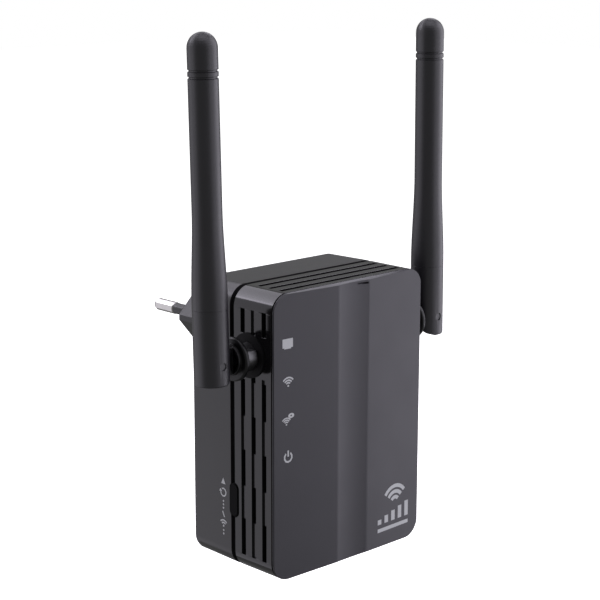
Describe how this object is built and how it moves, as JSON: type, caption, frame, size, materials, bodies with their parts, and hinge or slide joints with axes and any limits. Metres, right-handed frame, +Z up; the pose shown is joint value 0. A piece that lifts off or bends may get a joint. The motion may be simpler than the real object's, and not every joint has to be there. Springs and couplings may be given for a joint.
{
  "type": "wifi range extender",
  "caption": "Plug-in wifi range extender: two-part vented housing with a folded front panel, swivelling and tilting rod antennas, side reset button, RJ45 port and two-pin mains plug.",
  "frame": {"origin": "middle of the plug's end face, half way between the two mains pins", "axes": "+Y points along the pins into the wall socket, +Z up along the upright antennas, front panel faces -Y"},
  "size_m": [0.1034, 0.0812, 0.1635],
  "materials": {
    "rear_shell": "satin gloss dark grey ABS",
    "front_shell": "gloss dark grey ABS",
    "panel": "satin dark grey ABS, fine grain",
    "print_grey": "light grey print",
    "antenna_rubber": "matte black soft-touch plastic",
    "black_gloss": "satin gloss black ABS",
    "button_black": "matte black ABS",
    "washer_rubber": "matte black rubber",
    "spacer_grey": "turned steel, worn smooth",
    "pcb": "green solder mask",
    "pcb_tan": "paper laminate",
    "led": "clear epoxy",
    "light_pipe": "clear acrylic",
    "chip": "moulded epoxy",
    "tin": "tinned steel",
    "heatsink": "anodised",
    "contact_gold": "gold flash",
    "header": "moulded nylon",
    "transformer": "polyester tape",
    "capacitor": "heat-shrunk sleeve",
    "inductor": "heat-shrunk",
    "steel": "zinc plated",
    "coax": "moulded jacket",
    "wire": "PVC insulation",
    "nickel": "nickel plated brass",
    "sleeve": "moulded black nylon",
    "copper": "copper"
  },
  "bodies": {
    "housing": {"rear_housing": "rear_shell", "front_housing": "front_shell", "front_panel": "panel", "icon_ethernet": "print_grey", "icon_signal": "print_grey", "icon_link": "print_grey", "icon_power": "print_grey", "signal_badge": "print_grey", "button_marker": "print_grey", "led_board": "pcb", "status_leds": "led", "light_guides": "light_pipe", "main_board": "pcb", "main_chip": "chip", "shield_can": "tin", "heat_sink": "heatsink", "ethernet_shell": "tin", "ethernet_contacts": "contact_gold", "tact_switch": "tin", "board_link": "header", "power_board": "pcb_tan", "transformer": "transformer", "power_capacitors": "capacitor", "power_inductor": "inductor", "board_screws": "steel", "coax_leads": "coax", "mains_wires": "wire", "plug_pins": "nickel", "pin_sleeves": "sleeve", "left_washer": "washer_rubber", "right_washer": "washer_rubber"},
    "reset_button": {"reset_button": "button_black"},
    "left_swivel": {"left_knuckle": "black_gloss", "left_spacer": "spacer_grey", "left_retainer": "steel"},
    "left_antenna": {"left_antenna_base": "antenna_rubber", "left_antenna_sleeve": "antenna_rubber", "left_radiator": "copper", "left_tilt_pin": "antenna_rubber"},
    "right_swivel": {"right_knuckle": "black_gloss", "right_spacer": "spacer_grey", "right_retainer": "steel"},
    "right_antenna": {"right_antenna_base": "antenna_rubber", "right_antenna_sleeve": "antenna_rubber", "right_radiator": "copper", "right_tilt_pin": "antenna_rubber"}
  },
  "joints": [
    {"name": "left_swivel", "type": "hinge", "parent": "housing", "child": "left_swivel", "pos_m": [-0.046, -0.0505, -0.0008], "axis": [1, 0, 0], "range_deg": [-90, 180]},
    {"name": "left_tilt", "type": "hinge", "parent": "left_swivel", "child": "left_antenna", "pos_m": [-0.046, -0.0505, -0.0008], "axis": [0, -1, 0.0087], "range_deg": [-1, 89]},
    {"name": "right_swivel", "type": "hinge", "parent": "housing", "child": "right_swivel", "pos_m": [0.046, -0.0505, -0.0008], "axis": [1, 0, 0], "range_deg": [-90, 180]},
    {"name": "right_tilt", "type": "hinge", "parent": "right_swivel", "child": "right_antenna", "pos_m": [0.046, -0.0505, -0.0008], "axis": [0, 0.9999, -0.014], "range_deg": [-0.4, 89.6]},
    {"name": "reset_press", "type": "slide", "parent": "housing", "child": "reset_button", "axis": [1, 0, 0], "range_m": [0, 0.0006], "stiffness_N_per_m": 800}
  ]
}
